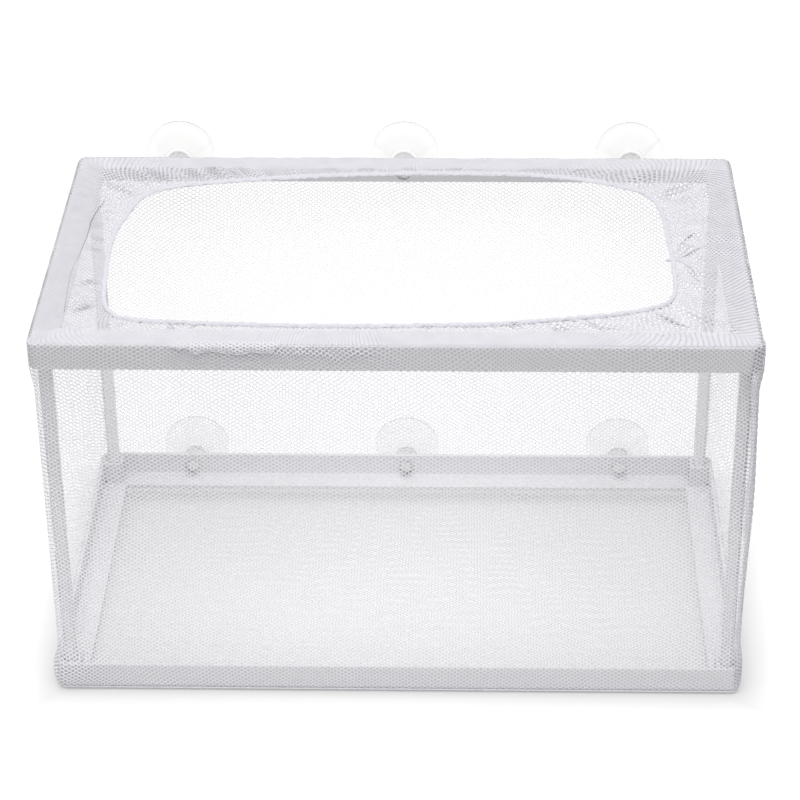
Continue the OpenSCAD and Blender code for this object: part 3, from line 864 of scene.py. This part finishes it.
# --- Suction cups -----------------------------------------------------------
# Six cups moulded in clear soft PVC. The mushroom head of each is pushed
# through a hole in its ring, and it can turn on its neck.
CUP_Y, CUP_SPREAD, CUP_HIGH, CUP_LOW = 76.25, 92.5, 149.0, 6.3  # the outer ends and axes of their holes
CUP_REACH, CUP_R, CUP_EDGE, CUP_FACE, CUP_HOLLOW = 16.5, 14.0, 0.9, 1.1, 6.5  # the disc
HUB_REACH, HUB_R, HUB_LOW, HUB_BEVEL = 7.5, 4.75, 0.6, 0.25  # the part between the disc and the ring
NECK_R, HEAD_R, HEAD_LOW, HEAD_H, BEVEL = 2.5, 3.2, -1.6, 2.4, 0.15
CUP_STEPS = 96
# How deep the plastic's tint is, from 0 to 1. It is deepest at the ring where the hub steps down to the
# disc, which is painted shade
HEAD_TINT, HUB_TINT, STEP_PAINTED_SHADE, FILLET_TINT, DISC_TINT, EDGE_TINT = 0.0, 0.12, 0.9, 0.0, 0.05, 0.0
MOULD_LINE_TINT, EDGE_ON_TINT = 0.2, 0.16
FROST = 0.5  # how much rougher the hub, neck and head are than the disc
SEAM_TURNS = {"left": 1.05, "middle": 0.62, "right": -0.5}  # how far each cup's mould line is turned


def curve(p, q, s, steps, tint):
    """Points of a curve that leaves p for q and arrives at s, with a tint each."""
    t = np.linspace(0, 1, steps + 1)[:, None]
    line = (1 - t) ** 2 * np.array(p) + 2 * t * (1 - t) * np.array(q) + t**2 * np.array(s)
    return [(r, reach, tint) for r, reach in line.tolist()]


# Half of a cup's section: distance from the axis, distance along it and depth of the plastic's tint, which
# is painted shade at the hub's step
HEAD_END = HEAD_LOW - HEAD_H
CUP_SECTION = [
    # the head and the neck
    *curve((HEAD_R / 2, HEAD_END), (HEAD_R, HEAD_END), (HEAD_R, HEAD_LOW - HEAD_R / 4), 6, HEAD_TINT),
    (HEAD_R, HEAD_LOW - BEVEL, HEAD_TINT),
    (HEAD_R - BEVEL, HEAD_LOW, HEAD_TINT),
    (NECK_R, HEAD_LOW, HEAD_TINT),
    (NECK_R, HUB_LOW, HUB_TINT),
    # the hub, and a ring of painted shade round it where it steps down to the disc
    (HUB_R - HUB_BEVEL, HUB_LOW, HUB_TINT),
    (HUB_R, HUB_LOW + HUB_BEVEL, HUB_TINT),
    (HUB_R, HUB_REACH - 1.9, HUB_TINT),
    (HUB_R, HUB_REACH - 1.4, STEP_PAINTED_SHADE),
    (HUB_R, HUB_REACH - 1.0, FILLET_TINT),
    *curve(
        (HUB_R, HUB_REACH - 0.4), (HUB_R, HUB_REACH + 0.1), (HUB_R + 0.9, HUB_REACH + 0.3),
        5, FILLET_TINT,
    ),
    (HUB_R + 1.1, HUB_REACH + 0.34, STEP_PAINTED_SHADE),
    # the back of the disc, its edge and its hollow face
    *curve(
        (HUB_R + 1.4, HUB_REACH + 0.42), (CUP_R * 0.55, HUB_REACH + 1.2), (CUP_R - 0.9, CUP_REACH - 1.7),
        12, DISC_TINT,
    ),
    (CUP_R, CUP_REACH - CUP_EDGE, EDGE_TINT),
    (CUP_R, CUP_REACH - BEVEL, EDGE_TINT),
    (CUP_R - BEVEL, CUP_REACH, EDGE_TINT),
    *curve(
        (CUP_R - CUP_FACE, CUP_REACH), (CUP_R * 0.5, CUP_REACH - CUP_HOLLOW), (0.3, CUP_REACH - CUP_HOLLOW),
        14, DISC_TINT,
    ),
]


def clear_cup():
    """One cup with its axis up Z: a ring drawn out along the section, and closed at both ends."""
    bpy.ops.object.select_all(action="DESELECT")
    r, reach, _ = CUP_SECTION[0]
    bpy.ops.mesh.primitive_circle_add(vertices=CUP_STEPS, radius=r * MM, location=(0, 0, 0))
    bpy.ops.object.mode_set(mode="EDIT")
    bpy.ops.mesh.select_all(action="SELECT")
    bpy.ops.transform.translate(value=(0, 0, reach * MM))
    for (r, reach, _), (next_r, next_reach, _) in zip(CUP_SECTION, CUP_SECTION[1:]):
        bpy.ops.mesh.extrude_edges_move(TRANSFORM_OT_translate={"value": (0, 0, (next_reach - reach) * MM)})
        ratio = next_r / r
        bpy.ops.transform.resize(value=(ratio, ratio, 1), center_override=(0, 0, next_reach * MM))
    bpy.ops.mesh.merge(type="CENTER")
    bpy.ops.mesh.select_all(action="DESELECT")
    bpy.ops.mesh.select_mode(type="EDGE")
    bpy.ops.mesh.select_non_manifold()
    bpy.ops.mesh.edge_face_add()
    bpy.ops.mesh.select_all(action="SELECT")
    bpy.ops.mesh.normals_make_consistent(inside=False)
    bpy.ops.mesh.select_mode(type="VERT")
    bpy.ops.object.mode_set(mode="OBJECT")
    bpy.ops.object.shade_smooth()
    return bpy.context.object


def store(mesh, name, values):
    """Keeps a value for each of a mesh's points under a name that its material reads."""
    mesh.attributes.new(name, "FLOAT", "POINT").data.foreach_set("value", values.astype(np.float32))


def tint_cup(mesh):
    """Stores the tint, with its painted shade at the hub's step, deeper along one faint mould line, and
    where the surface is frosted.
    """
    places = np.empty(len(mesh.vertices) * 3)
    mesh.vertices.foreach_get("co", places)
    places = places.reshape(-1, 3) / MM
    r, reach = np.linalg.norm(places[:, :2], axis=1), places[:, 2]
    section = np.array(CUP_SECTION)
    near = np.argmin((r[:, None] - section[:, 0]) ** 2 + (places[:, 2:] - section[:, 1]) ** 2, axis=1)
    on_line = (abs(np.arctan2(places[:, 1], places[:, 0])) < math.pi / CUP_STEPS) & (r > HUB_R + 1)
    store(mesh, "tint", section[near, 2] + MOULD_LINE_TINT * on_line)
    store(mesh, "frost", (r < HUB_R + 0.01).astype(np.float32) * (reach < HUB_REACH))


def stored(tree, name):
    """The value that a mesh keeps under this name."""
    node = tree.nodes.new("ShaderNodeAttribute")
    node.attribute_name = name
    return node.outputs["Fac"]


clear_mould, mould_in, mould_out = new_group(
    "clear_mould",
    {"Smooth": "NodeSocketFloat", "Cloudy": "NodeSocketFloat"},
    {"Roughness": "NodeSocketFloat", "Height": "NodeSocketFloat"},
)
feed(
    clear_mould, mould_out.inputs["Roughness"],
    between(
        clear_mould, noise(clear_mould, 90, 3),
        mould_in.outputs["Smooth"], mould_in.outputs["Cloudy"], 0.35, 0.7,
    ),
)
feed(clear_mould, mould_out.inputs["Height"], noise(clear_mould, 160, 2))

cup_pvc, tree, shader = new_material("cup_pvc")
mould = place_group(tree, clear_mould, Smooth=0.03, Cloudy=0.09)
add_relief(tree, shader, mould["Height"], 0.15, 0.2)
feed(
    tree, shader.inputs["Roughness"],
    maths(tree, "MULTIPLY_ADD", stored(tree, "frost"), FROST, mould["Roughness"]),
)
facing = tree.nodes.new("ShaderNodeLayerWeight")
facing.inputs["Blend"].default_value = 0.35
deeper = maths(tree, "MULTIPLY", facing.outputs["Facing"], EDGE_ON_TINT)
deeper = maths(tree, "ADD", stored(tree, "tint"), deeper, clamp=True)
feed(
    tree, shader.inputs["Base Color"],
    blend_colours(tree, deeper, (0.93, 0.93, 0.925, 1), (0.55, 0.55, 0.56, 1)),
)
shader.inputs["Transmission Weight"].default_value = 1
shader.inputs["IOR"].default_value = 1.42
first = clear_cup()
tint_cup(first.data)
for level, z in (("top", CUP_HIGH), ("bottom", CUP_LOW)):
    for where, x in (("left", -1), ("middle", 0), ("right", 1)):
        name = f"cup_{level}_{where}"
        cup = bpy.data.objects.new(name + "_clear", first.data.copy())
        cup.data.transform(
            Matrix.Translation(Vector((x * CUP_SPREAD, CUP_Y, z)) * MM)
            @ Matrix.Rotation(-math.pi / 2, 4, "X") @ Matrix.Rotation(SEAM_TURNS[where], 4, "Z")
        )
        bpy.context.scene.collection.objects.link(cup)
        cup.data.materials.append(cup_pvc)
        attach(cup, name + "_body")
        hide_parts(name)
bpy.data.objects.remove(first)
